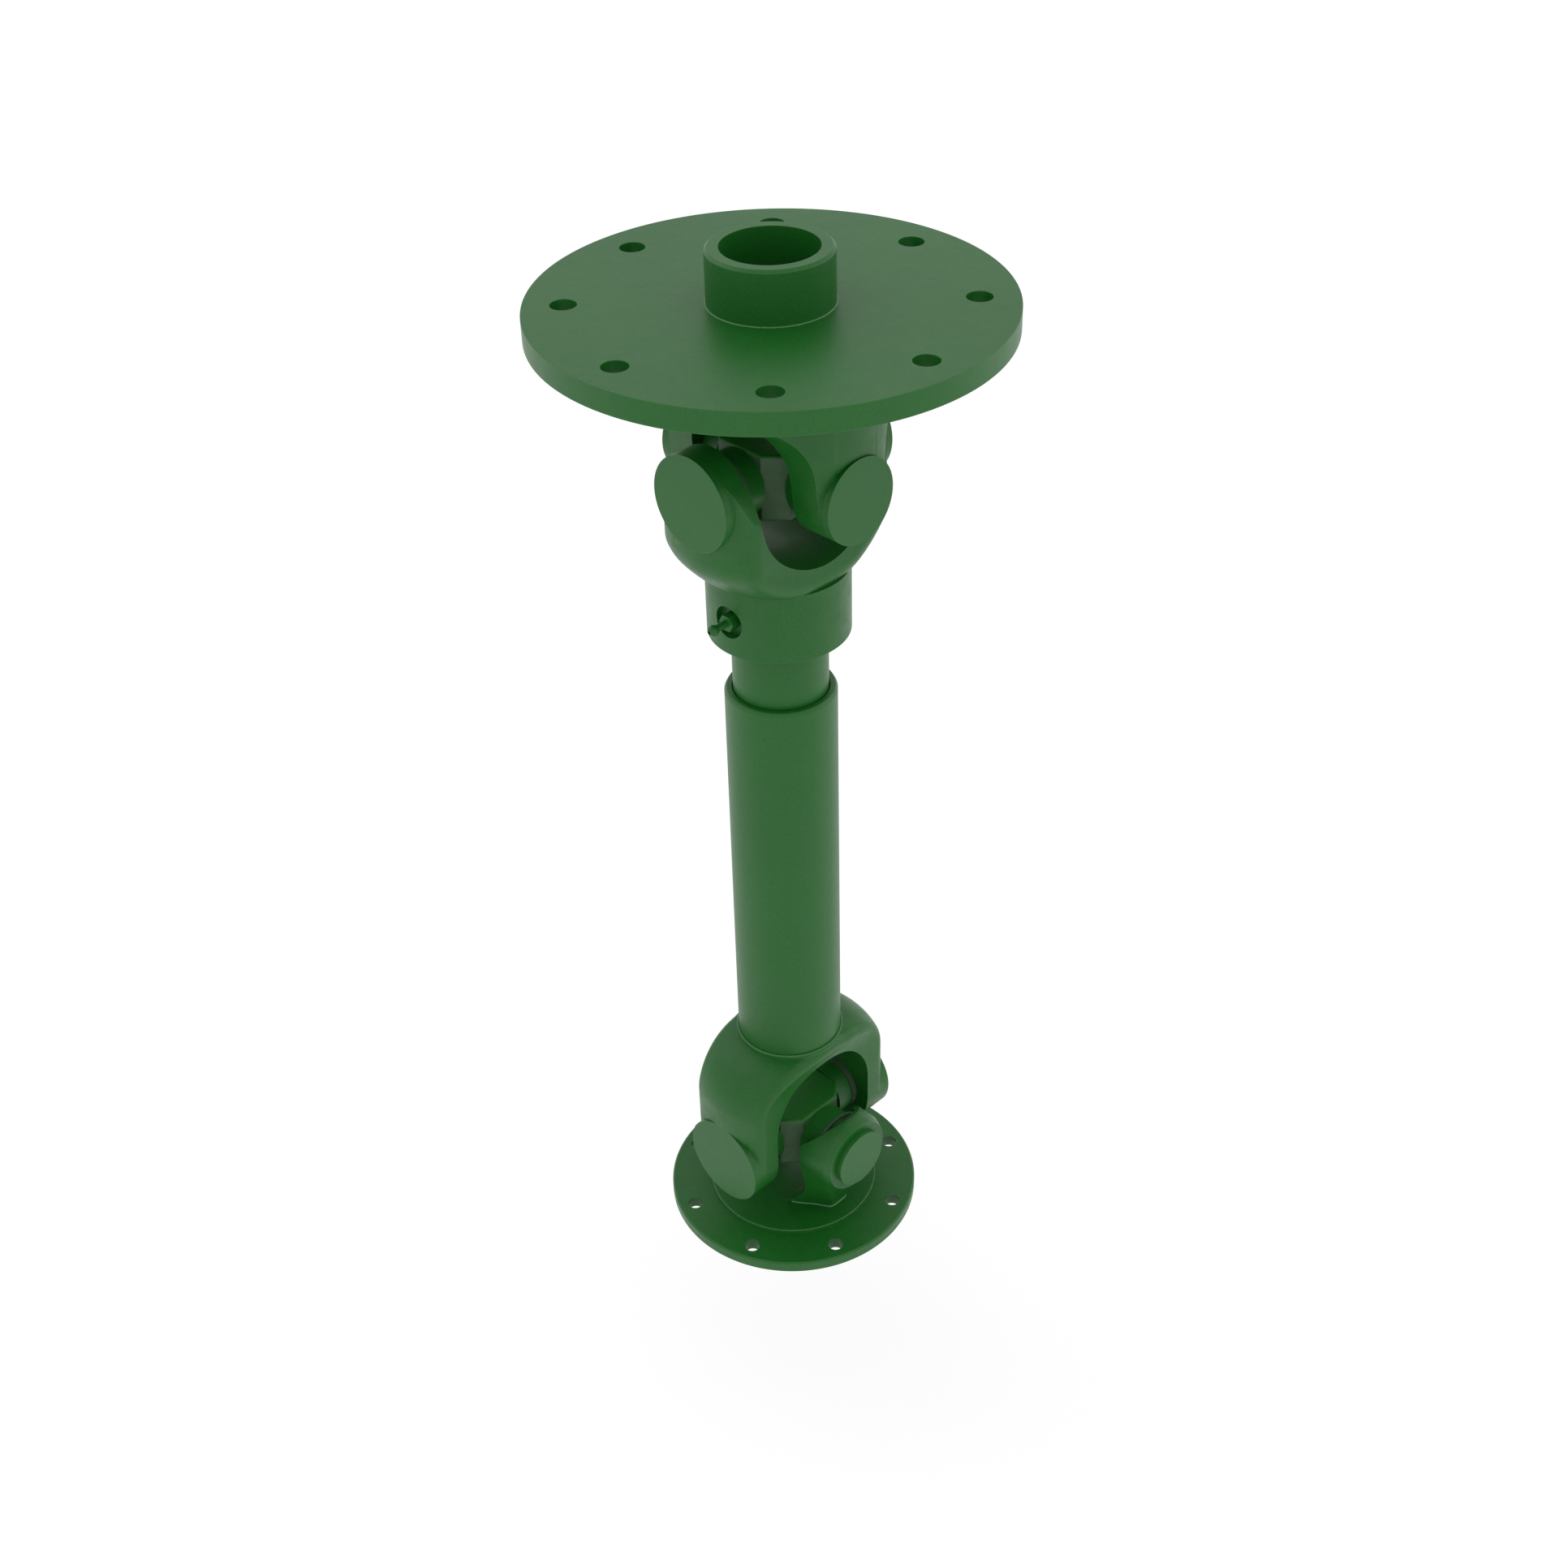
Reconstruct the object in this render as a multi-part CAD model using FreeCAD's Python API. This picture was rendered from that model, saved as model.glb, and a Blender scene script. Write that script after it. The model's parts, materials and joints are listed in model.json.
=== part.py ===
import FreeCAD, Part
import os
from math import acos, atan2, cos, pi, radians, sin, sqrt

# Drive shaft with a bolted plate on top, two universal joints, a splined
# telescoping middle and a bolted flange at the foot.  Millimetres, +Z up.
# The origin is the centre of the foot flange's underside.  The arms of both
# joint crosses lie along X and Y: the plate and the foot flange hold the X
# arms, the two tube ends hold the Y arms.

V = FreeCAD.Vector
X = V(1, 0, 0)
Y = V(0, 1, 0)
Z = V(0, 0, 1)
REACH = 100

# Heights along the shaft
PLATE_TOP_Z = 620.4
PLATE_T = 12.7
UPPER_JOINT_DEPTH = 77.3
UPPER_JOINT_Z = PLATE_TOP_Z - PLATE_T - UPPER_JOINT_DEPTH
LOWER_JOINT_Z = 63.9
COLLAR_DROP = 98.4
COLLAR_BOTTOM_Z = UPPER_JOINT_Z - COLLAR_DROP
TUBE_TOP_Z = 393.8
TUBE_BOTTOM_Z = 141.0

# Top plate and the hub sleeve through it
PLATE_R = 124.5
PLATE_HOLE_INSET = 21.0
PLATE_PITCH_R = PLATE_R - PLATE_HOLE_INSET
PLATE_HOLE_R = 6.9
HOLE_COUNT = 8
HUB_R = 32.7
HUB_BORE_R = 25.4
HUB_HEIGHT = 28.8
HUB_TOP_Z = PLATE_TOP_Z + HUB_HEIGHT
HUB_SEAT_DEPTH = 7.5
HUB_CHAMFER = 1.5
HUB_FIT = 0.05
EDGE_BREAK = 0.4
PLATE_WELD_LEG = 5.0

# Trunnion hardware, the same in all eight ears
CUP_R = 18.85
CUP_BORE_R = 15.3
CUP_MOUTH = 37.0
CUP_FLOOR = 54.65
CUP_BACK = 58.15
JOURNAL_R = 10.6
JOURNAL_END = 54.4
SHOULDER_R = 15.5
SHOULDER_END = 34.0
ROLLER_R = 2.3
ROLLER_COUNT = 16
ROLLER_START = 38.4
ROLLER_END = 53.9
ROLLER_PLAY = 0.05
SEAL_R = 17.8
SEAL_PLAY = 0.1
SEAL_START = SHOULDER_END + SEAL_PLAY
SEAL_END = 36.8
GUARD_R = 18.4
GUARD_START = 25.7
GUARD_END = 36.2
GUARD_FIT = 0.05
EAR_FACE = 61.2
COVER_T = 3.0
COVER_FIT = 0.1
GREASE_DRILL_R = 2.5

# Cross centre: a square block with its four upright corners cut flat
CROSS_PLAY = 0.1
CROSS_HALF_WIDTH = GUARD_START - CROSS_PLAY
CROSS_HALF_HEIGHT = 19.0
CROSS_CORNER = 29.0
CROSS_ROUND = 2.5

# Upper flange yoke, ears along X pointing down
UFY_TURNED_R = 60.0
UFY_EAR_R = 23.85
UFY_HALF_WIDTH = 25.2
UFY_FLARE_R = 38.2
UFY_FLARE_Z = 14.0
UFY_FLARE_END = UFY_TURNED_R + 2.0
UFY_SLOT_HALF = 36.5
UFY_SLOT_Z = 7.8

# Slip yoke, ears along Y pointing up, with the collar under it
SLY_TURNED_R = 60.5
SLY_DOME_SWELL = 10.7
SLY_DOME_R = SLY_TURNED_R + SLY_DOME_SWELL
SLY_SHOULDER_R = 20.0
SLY_EAR_R = 26.5
SLY_CROWN_R = 25.9
SLY_CROWN_END = 47.5
SLY_WAIST = (28.8, 6.5)
SLY_WAIST_END = -9.0
SLY_HALF_WIDTH = 35.0
SLY_FLARE_Z = -34.0
SLY_FLARE_R = 50.5
SLY_FLARE_DROP = 32.0
SLY_ROUND = 10.0
SLY_SLOT_R = 44.7
SLY_SLOT_Z = -1.4
COLLAR_R = 39.7
COLLAR_LAP = 1.0
COLLAR_BORE_DEPTH = 40.0

# Grease nipple in a round pocket on the collar
NIPPLE_RISE = 19.7
NIPPLE_Z = COLLAR_BOTTOM_Z + NIPPLE_RISE
NIPPLE_TURN = 2.0
POCKET_R = 9.4
POCKET_DEPTH = 5.1
POCKET_FLOOR = COLLAR_R - POCKET_DEPTH
NIPPLE_THREAD_R = 3.25
NIPPLE_FIT = 0.05
NIPPLE_HOLE_R = NIPPLE_THREAD_R + NIPPLE_FIT
NIPPLE_SEAT_PLAY = 0.1
NIPPLE_THREAD_CLEAR = 2.0
NIPPLE_THREAD_LAP = 0.5
NIPPLE_HEX_R = 5.0
NIPPLE_HEX_T = 6.5
NIPPLE_NECK_R = 2.1
NIPPLE_BALL_R = 3.2
NIPPLE_REACH = 12.8
NIPPLE_DRILL_R = 1.0

# Outer tube and the splined shaft that slides in it
TUBE_R = 31.8
TUBE_WALL = 2.4
TUBE_BORE_R = TUBE_R - TUBE_WALL
LINER_SPACE = 2.45
SHAFT_R = TUBE_BORE_R - LINER_SPACE
SHAFT_WALL = 9.95
SHAFT_BORE_R = SHAFT_R - SHAFT_WALL
SHAFT_END_PLAY = 0.5
SHAFT_TOP_Z = COLLAR_BOTTOM_Z + COLLAR_BORE_DEPTH - SHAFT_END_PLAY
SHAFT_BOTTOM_Z = 192.0
SPLINE_COUNT = 16
SPLINE_DEPTH = 2.75
SPLINE_ROOT_R = SHAFT_R - SPLINE_DEPTH
SPLINE_TOP_Z = 385.0
SPLINE_SLOT_W = 5.4
SPLINE_SIDE_PLAY = 0.1
TUBE_LIP_R = SHAFT_R + 0.29
TUBE_LIP_T = 3.2
TUBE_MOUTH_SLOPE = 1.3
TUBE_MOUTH_DROP = 2.5
LINER_PLAY = 0.04
WIPER_T = 5.0
WIPER_R = SHAFT_R + 0.03
BUSH_LENGTH = 32.0
BUSH_R = SHAFT_R + 0.05
SLEEVE_TOP_Z = 346.0
SLEEVE_LENGTH = 90.0
SLEEVE_BORE_R = SHAFT_R + 0.07
SLEEVE_TOOTH_R = SPLINE_ROOT_R + 0.1
SLEEVE_TOOTH_LAP = 0.6

# Lower tube yoke, ears along Y pointing down
LTY_EAR_R = 28.4
LTY_HALF_WIDTH = 28.7
LTY_SLOT_HALF = 41.0
LTY_SLOT_Z = 21.5
LTY_TURNED_R = 61.4
LTY_DOME_R = 35.5
LTY_DOME_Z = 40.7
LTY_FLARE_Z = 48.0
LTY_ROUND = 6.0
LTY_SPIGOT_H = 8.5
TUBE_WELD_LEG = 1.7
LTY_SEAT_R = TUBE_R + TUBE_WELD_LEG
LTY_FLARE_CLEAR = 2.6
LTY_FLARE_OUT = LTY_SEAT_R + LTY_FLARE_CLEAR - LTY_HALF_WIDTH
LTY_FLARE_RISE = 26.7
LTY_FLARE_R = (LTY_FLARE_OUT ** 2 + LTY_FLARE_RISE ** 2) / (2 * LTY_FLARE_OUT)

# Foot flange with ears along X pointing up
FLANGE_R = 79.8
FLANGE_T = 8.2
FLANGE_BEVEL = 1.0
FLANGE_HOLE_INSET = 10.5
FLANGE_PITCH_R = FLANGE_R - FLANGE_HOLE_INSET
FLANGE_HOLE_R = 4.75
STEP_R = 53.9
STEP_TOP_Z = 10.1
LFY_EAR_R = 26.2
LFY_RING_R = 23.95
LFY_RING_START = 52.2
LFY_RING_END = 57.8
LFY_CAP_FACE = 61.7
LFY_SLOT_HALF = 32.5
LFY_SLOT_Z = -25.0
LFY_SPOT_R = 23.2
LFY_SPOT_X = 42.0
LFY_SLOPE = [(LFY_SLOT_HALF, 9.0), (50.0, 26.0)]
LFY_FOOT = [(12.0, 22.8), (16.0, 22.8), (25.1, 17.0), (32.0, 11.6),
            (38.6, 7.8), (41.0, 5.0)]
LFY_HEAD = [(12.0, 25.0), (30.0, 25.0), (38.0, 24.5), (46.0, 24.0),
            (50.0, 23.5), (52.0, 22.5)]
LFY_HEAD_Z = -9.0
LFY_FOOT_LAP = 0.5
CLIP_R = 21.6
CLIP_ROOT_R = 17.6
CLIP_START = 40.25
CLIP_T = 1.6
CLIP_GAP_HALF = 5.0
CLIP_PLAY = 0.05


def cyl(radius, length, at, along):
    return Part.makeCylinder(radius, length, at, along)


def tube_between(outer, inner, z0, z1):
    body = cyl(outer, z1 - z0, V(0, 0, z0), Z)
    return body.cut(cyl(inner, z1 - z0 + 2, V(0, 0, z0 - 1), Z))


def box(x0, x1, y0, y1, z0, z1):
    return Part.makeBox(x1 - x0, y1 - y0, z1 - z0, V(x0, y0, z0))


def turned(points):
    # closed outline of (radius, height) pairs turned about Z
    pts = [V(r, 0, z) for r, z in points]
    wire = Part.makePolygon(pts + [pts[0]])
    return Part.Face(wire).revolve(V(0, 0, 0), Z, 360)


def bolt_holes(body, pitch_r, hole_r, z0, z1, start_deg):
    for i in range(HOLE_COUNT):
        a = radians(start_deg + i * 360.0 / HOLE_COUNT)
        at = V(pitch_r * cos(a), pitch_r * sin(a), z0 - 1)
        body = body.cut(cyl(hole_r, z1 - z0 + 2, at, Z))
    return body


def on_arm(shape, arm, height):
    # shapes drawn along +X are turned onto one of the four arms
    out = shape.copy()
    out.rotate(V(0, 0, 0), Z, {"xp": 0, "yp": 90, "xn": 180, "yn": 270}[arm])
    out.translate(V(0, 0, height))
    return out


def raised(shape, height):
    out = shape.copy()
    out.translate(V(0, 0, height))
    return out


def save(shape, name):
    shape.exportStep("parts/" + name + ".step")


def cross():
    w = CROSS_HALF_WIDTH
    h = CROSS_HALF_HEIGHT
    block = box(-w, w, -w, w, -h, h)
    corners = box(-CROSS_CORNER, CROSS_CORNER, -CROSS_CORNER, CROSS_CORNER, -h, h)
    corners.rotate(V(0, 0, 0), Z, 45)
    body = block.common(corners)
    level = [e for e in body.Edges if e.BoundBox.ZLength < 0.01]
    body = body.makeFillet(CROSS_ROUND, level)
    for way in (X, Y):
        body = body.fuse(cyl(SHOULDER_R, 2 * SHOULDER_END, way * -SHOULDER_END, way))
    for way in (X, Y):
        body = body.fuse(cyl(JOURNAL_R, 2 * JOURNAL_END, way * -JOURNAL_END, way))
    for way in (X, Y):
        end = JOURNAL_END + 1
        body = body.cut(cyl(GREASE_DRILL_R, 2 * end, way * -end, way))
    return body.removeSplitter()


def cup(back):
    shell = cyl(CUP_R, back - CUP_MOUTH, X * CUP_MOUTH, X)
    return shell.cut(cyl(CUP_BORE_R, CUP_FLOOR - CUP_MOUTH + 1, X * (CUP_MOUTH - 1), X))


def clipped_cup():
    shell = cup(LFY_CAP_FACE)
    groove = cyl(CUP_R + 1, CLIP_T, X * CLIP_START, X)
    groove = groove.cut(cyl(CLIP_ROOT_R, CLIP_T, X * CLIP_START, X))
    return shell.cut(groove)


def rollers():
    pitch = JOURNAL_R + ROLLER_PLAY + ROLLER_R
    out = []
    for i in range(ROLLER_COUNT):
        a = 2 * pi * (i + 0.5) / ROLLER_COUNT
        at = V(ROLLER_START, pitch * cos(a), pitch * sin(a))
        out.append(cyl(ROLLER_R, ROLLER_END - ROLLER_START, at, X))
    return Part.makeCompound(out)


def seals():
    ring = cyl(SEAL_R, SEAL_END - SEAL_START, X * SEAL_START, X)
    ring = ring.cut(cyl(JOURNAL_R, SEAL_END, X * (SEAL_START - 1), X))
    return [on_arm(ring, arm, 0) for arm in ("xp", "yp", "xn", "yn")]


def seal_guards():
    # thin sleeves pressed on the cross's shoulders, each with a seal in its mouth
    guard = cyl(GUARD_R, GUARD_END - GUARD_START, X * GUARD_START, X)
    guard = guard.cut(cyl(SHOULDER_R, SHOULDER_END, X * (GUARD_START - 1), X))
    mouth = cyl(SEAL_R + GUARD_FIT, GUARD_END, X * SHOULDER_END, X)
    guard = guard.cut(mouth)
    return [on_arm(guard, arm, 0) for arm in ("xp", "yp", "xn", "yn")]


def ear_cover(radius):
    return cyl(radius, COVER_T, X * (EAR_FACE - COVER_T), X)


def retaining_clip():
    start = CLIP_START + CLIP_PLAY
    ring = cyl(CLIP_R, CLIP_T - 2 * CLIP_PLAY, X * start, X)
    ring = ring.cut(cyl(CLIP_ROOT_R + CLIP_PLAY, CLIP_T + 2, X * (start - 1), X))
    return ring.cut(box(start - 1, start + CLIP_T + 1, -CLIP_GAP_HALF, CLIP_GAP_HALF,
                        -CLIP_R - 1, 0))


def bored(body, way, radius):
    # straight bearing bore through both ears
    return body.cut(cyl(radius, 2 * REACH, way * -REACH, way))


def cover_seats(body, way, radius):
    # shallow round recess in the end of each ear that its cover lies in
    for out in (way, way * -1):
        seat = cyl(radius + COVER_FIT, 2 * COVER_T, out * (EAR_FACE - COVER_T), out)
        body = body.cut(seat)
    return body


def turned_edges(edges):
    # closed outline of lines and arcs in the XZ plane turned about Z
    wire = Part.Wire(Part.__sortEdges__(edges))
    return Part.Face(wire).revolve(V(0, 0, 0), Z, 360)


def flared_slab(half, flare_z, flare_r, end_z, near_z, far_z):
    # flat sided slab across X: its two faces are flat from near_z to flare_z, curve
    # outwards to end_z and go straight on to far_z
    def at(z, side):
        out = flare_r - sqrt(flare_r ** 2 - (z - flare_z) ** 2)
        return V(side * (half + out), -REACH, z)
    middle = (flare_z + end_z) / 2
    corners = [V(at(end_z, side).x, -REACH, far_z) for side in (1, -1)]
    edges = [Part.makeLine(V(half, -REACH, near_z), V(-half, -REACH, near_z)),
             Part.makeLine(corners[0], corners[1])]
    for side, corner in zip((1, -1), corners):
        edges.append(Part.makeLine(V(side * half, -REACH, near_z), at(flare_z, side)))
        edges.append(Part.Arc(at(flare_z, side), at(middle, side), at(end_z, side)).toShape())
        edges.append(Part.makeLine(at(end_z, side), corner))
    wire = Part.Wire(Part.__sortEdges__(edges))
    return Part.Face(wire).extrude(Y * (2 * REACH))


def rounded_sides(body, half, cut_z, radius):
    # rounds the edges between the flat sides and the turned surface, but not
    # the edges of the flat end at cut_z
    rim = []
    for edge in body.Edges:
        at = edge.CenterOfMass
        if abs(at.x) > half - 2 and abs(at.z - cut_z) > 1:
            rim.append(edge)
    return body.makeFillet(radius, rim)


def drive_plate():
    bottom = PLATE_TOP_Z - PLATE_T
    body = cyl(PLATE_R, PLATE_T, V(0, 0, bottom), Z)
    body = body.cut(cyl(HUB_R + HUB_FIT, PLATE_T + 2, V(0, 0, bottom - 1), Z))
    top = HUB_R + HUB_FIT + EDGE_BREAK
    cone = Part.makeCone(top - EDGE_BREAK, top, EDGE_BREAK, V(0, 0, PLATE_TOP_Z - EDGE_BREAK), Z)
    body = body.cut(cone)
    return bolt_holes(body, PLATE_PITCH_R, PLATE_HOLE_R, bottom, PLATE_TOP_Z, 0)


def upper_flange_side(top):
    # the face seen along X: round lower end, straight sides, flare to the top
    r = UFY_EAR_R
    w = UFY_HALF_WIDTH
    z1 = UFY_FLARE_Z
    c = w + UFY_FLARE_R
    yt = UFY_FLARE_END
    zt = z1 + sqrt(UFY_FLARE_R ** 2 - (c - yt) ** 2)
    a = acos((c - yt) / UFY_FLARE_R) / 2
    ym = c - UFY_FLARE_R * cos(a)
    zm = z1 + UFY_FLARE_R * sin(a)
    big = REACH
    left = [Part.makeLine(V(-big, -w, z1), V(-big, -r, 0)),
            Part.Arc(V(-big, -r, 0), V(-big, 0, -r), V(-big, r, 0)).toShape(),
            Part.makeLine(V(-big, r, 0), V(-big, w, z1)),
            Part.Arc(V(-big, w, z1), V(-big, ym, zm), V(-big, yt, zt)).toShape(),
            Part.makeLine(V(-big, yt, zt), V(-big, yt, top)),
            Part.makeLine(V(-big, yt, top), V(-big, -yt, top)),
            Part.makeLine(V(-big, -yt, top), V(-big, -yt, zt)),
            Part.Arc(V(-big, -yt, zt), V(-big, -ym, zm), V(-big, -w, z1)).toShape()]
    wire = Part.Wire(Part.__sortEdges__(left))
    return Part.Face(wire).extrude(V(2 * big, 0, 0))


def upper_flange_yoke():
    top = UPPER_JOINT_DEPTH
    body = cyl(UFY_TURNED_R, top + REACH, V(0, 0, -REACH), Z)
    body = body.common(upper_flange_side(top))
    body = body.fuse(cyl(UFY_EAR_R, 2 * EAR_FACE, X * -EAR_FACE, X))
    body = body.cut(cyl(UFY_SLOT_HALF, 2 * REACH, V(0, -REACH, UFY_SLOT_Z), Y))
    body = body.cut(box(-UFY_SLOT_HALF, UFY_SLOT_HALF, -REACH, REACH, -REACH, UFY_SLOT_Z))
    body = cover_seats(bored(body, X, CUP_R), X, UFY_EAR_R)
    hub_seat = cyl(HUB_R + HUB_FIT, HUB_SEAT_DEPTH + 1, V(0, 0, top - HUB_SEAT_DEPTH), Z)
    body = body.cut(hub_seat)
    return raised(body.removeSplitter(), UPPER_JOINT_Z)


def hub_sleeve():
    # stands in the yoke's recess and passes through the plate
    low = PLATE_TOP_Z - PLATE_T - HUB_SEAT_DEPTH
    rim = HUB_TOP_Z - HUB_CHAMFER
    return turned([(HUB_BORE_R, low), (HUB_R, low), (HUB_R, rim),
                   (HUB_R - HUB_CHAMFER, HUB_TOP_Z), (HUB_BORE_R, HUB_TOP_Z)])


def plate_weld():
    z = PLATE_TOP_Z - PLATE_T
    leg = PLATE_WELD_LEG
    r = UFY_TURNED_R
    return turned([(r, z), (r + leg, z), (r, z - leg)])


def slip_blank():
    # round bar with a ball shaped lower end, the two joined by a broad arc
    r = SLY_TURNED_R
    ball = SLY_DOME_R
    s = SLY_SHOULDER_R
    top = SLY_SLOT_R - SLY_CROWN_R / 2
    arc_z = -sqrt((ball - s) ** 2 - (r - s) ** 2)
    slope = atan2(arc_z, r - s)
    on_ball = V(ball * cos(slope), 0, ball * sin(slope))
    on_arc = V(r - s + s * cos(slope / 2), 0, arc_z + s * sin(slope / 2))
    low = (slope - pi / 2) / 2
    return turned_edges([
        Part.makeLine(V(0, 0, top), V(r, 0, top)),
        Part.makeLine(V(r, 0, top), V(r, 0, arc_z)),
        Part.Arc(V(r, 0, arc_z), on_arc, on_ball).toShape(),
        Part.Arc(on_ball, V(ball * cos(low), 0, ball * sin(low)), V(0, 0, -ball)).toShape(),
        Part.makeLine(V(0, 0, -ball), V(0, 0, top))])


def slip_crown():
    # the ears seen along Y: crowned tops that widen to the flat sides
    crown = radians(SLY_CROWN_END)
    tip_x = SLY_CROWN_R * cos(crown)
    tip_z = SLY_CROWN_R * sin(crown)
    side_z = SLY_WAIST_END
    edges = [Part.Arc(V(tip_x, -REACH, tip_z), V(0, -REACH, SLY_CROWN_R),
                      V(-tip_x, -REACH, tip_z)).toShape(),
             Part.makeLine(V(-REACH, -REACH, -REACH), V(REACH, -REACH, -REACH))]
    for side in (1, -1):
        corner = V(side * SLY_HALF_WIDTH, -REACH, side_z)
        waist = V(side * SLY_WAIST[0], -REACH, SLY_WAIST[1])
        edges.append(Part.Arc(V(side * tip_x, -REACH, tip_z), waist, corner).toShape())
        edges.append(Part.makeLine(corner, V(side * REACH, -REACH, side_z)))
        edges.append(Part.makeLine(V(side * REACH, -REACH, side_z), V(side * REACH, -REACH, -REACH)))
    wire = Part.Wire(Part.__sortEdges__(edges))
    return Part.Face(wire).extrude(Y * (2 * REACH))


def at_nipple(shape):
    # shapes drawn along -Y are turned to where the nipple is
    shape.rotate(V(0, 0, 0), Z, NIPPLE_TURN)
    return shape


def nipple_pocket():
    pocket = cyl(POCKET_R, COLLAR_R, V(0, -POCKET_FLOOR, NIPPLE_Z), Y * -1)
    hole = cyl(NIPPLE_HOLE_R, POCKET_FLOOR + 1, V(0, 0, NIPPLE_Z), Y * -1)
    return at_nipple(pocket.fuse(hole))


def slip_yoke():
    ball = SLY_DOME_R
    top = SLY_SLOT_R - SLY_CROWN_R / 2
    end_z = SLY_FLARE_Z - SLY_FLARE_DROP
    slab = flared_slab(SLY_HALF_WIDTH, SLY_FLARE_Z, SLY_FLARE_R, end_z, top + 1, -ball - 1)
    body = rounded_sides(slip_blank().common(slab), SLY_HALF_WIDTH, top, SLY_ROUND)
    body = body.common(slip_crown())
    body = body.fuse(cyl(SLY_EAR_R, 2 * EAR_FACE, Y * -EAR_FACE, Y))
    body = body.cut(cyl(SLY_SLOT_R, 2 * REACH, V(-REACH, 0, SLY_SLOT_Z), X))
    body = body.cut(box(-REACH, REACH, -SLY_SLOT_R, SLY_SLOT_R, SLY_SLOT_Z, REACH))
    body = cover_seats(bored(body, Y, CUP_R), Y, SLY_EAR_R)
    body = raised(body, UPPER_JOINT_Z)
    neck_top = UPPER_JOINT_Z - sqrt(ball ** 2 - COLLAR_R ** 2) + COLLAR_LAP
    body = body.fuse(cyl(COLLAR_R, neck_top - COLLAR_BOTTOM_Z, V(0, 0, COLLAR_BOTTOM_Z), Z))
    socket = cyl(SHAFT_R + HUB_FIT, COLLAR_BORE_DEPTH + 1, V(0, 0, COLLAR_BOTTOM_Z - 1), Z)
    body = body.cut(socket)
    return body.cut(nipple_pocket()).removeSplitter()


def grease_nipple():
    start = SHAFT_R + NIPPLE_THREAD_CLEAR
    ball_at = POCKET_FLOOR + NIPPLE_HEX_T + NIPPLE_REACH - NIPPLE_BALL_R
    thread_length = POCKET_FLOOR - start + NIPPLE_THREAD_LAP
    thread = cyl(NIPPLE_THREAD_R, thread_length, V(0, -start, 0), Y * -1)
    under_nut = POCKET_FLOOR + NIPPLE_SEAT_PLAY
    corners = []
    for i in range(7):
        a = radians(60 * i)
        corners.append(V(NIPPLE_HEX_R * cos(a), -under_nut, NIPPLE_HEX_R * sin(a)))
    nut = Part.Face(Part.makePolygon(corners)).extrude(V(0, -NIPPLE_HEX_T, 0))
    neck_from = POCKET_FLOOR + NIPPLE_HEX_T
    neck = cyl(NIPPLE_NECK_R, ball_at - neck_from, V(0, -neck_from, 0), Y * -1)
    ball = Part.makeSphere(NIPPLE_BALL_R, V(0, -ball_at, 0))
    body = thread.fuse([nut, neck, ball])
    body = body.cut(cyl(NIPPLE_DRILL_R, 2 * ball_at, V(0, 0, 0), Y * -1))
    return at_nipple(raised(body.removeSplitter(), NIPPLE_Z))


def splined_shaft():
    # the grooves of the sliding spline are cut into the plain outside diameter
    body = tube_between(SHAFT_R, SHAFT_BORE_R, SHAFT_BOTTOM_Z, SHAFT_TOP_Z)
    depth = SHAFT_R - SPLINE_ROOT_R + 2
    cut = box(SPLINE_ROOT_R, SPLINE_ROOT_R + depth, -SPLINE_SLOT_W / 2, SPLINE_SLOT_W / 2,
              SHAFT_BOTTOM_Z - 1, SPLINE_TOP_Z)
    slots = []
    for i in range(SPLINE_COUNT):
        one = cut.copy()
        one.rotate(V(0, 0, 0), Z, i * 360.0 / SPLINE_COUNT)
        slots.append(one)
    body = body.cut(Part.makeCompound(slots))
    oil_way = cyl(NIPPLE_HOLE_R, SHAFT_R + 1, V(0, 0, NIPPLE_Z), Y * -1)
    return body.cut(at_nipple(oil_way))


def spline_sleeve():
    bottom = SLEEVE_TOP_Z - SLEEVE_LENGTH
    body = tube_between(TUBE_BORE_R - LINER_PLAY, SLEEVE_BORE_R, bottom, SLEEVE_TOP_Z)
    half = SPLINE_SLOT_W / 2 - SPLINE_SIDE_PLAY
    tooth = box(SLEEVE_TOOTH_R, SLEEVE_BORE_R + SLEEVE_TOOTH_LAP, -half, half, bottom, SLEEVE_TOP_Z)
    teeth = []
    for i in range(SPLINE_COUNT):
        one = tooth.copy()
        one.rotate(V(0, 0, 0), Z, i * 360.0 / SPLINE_COUNT)
        teeth.append(one)
    return body.fuse(teeth).removeSplitter()


def outer_tube():
    lip_z = TUBE_TOP_Z - TUBE_LIP_T
    rim = TUBE_R - TUBE_MOUTH_SLOPE
    return turned([(TUBE_BORE_R, TUBE_BOTTOM_Z), (TUBE_R, TUBE_BOTTOM_Z),
                   (TUBE_R, TUBE_TOP_Z - TUBE_MOUTH_DROP), (rim, TUBE_TOP_Z),
                   (TUBE_LIP_R, TUBE_TOP_Z), (TUBE_LIP_R, lip_z), (TUBE_BORE_R, lip_z)])


def wiper_ring():
    top = TUBE_TOP_Z - TUBE_LIP_T
    return tube_between(TUBE_BORE_R - LINER_PLAY, WIPER_R, top - WIPER_T, top)


def guide_bush():
    top = TUBE_TOP_Z - TUBE_LIP_T - WIPER_T
    return tube_between(TUBE_BORE_R - LINER_PLAY, BUSH_R, top - BUSH_LENGTH, top)


def tube_weld():
    z = TUBE_BOTTOM_Z
    leg = TUBE_WELD_LEG
    return turned([(TUBE_R, z), (TUBE_R + leg, z), (TUBE_R, z + leg)])


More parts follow.
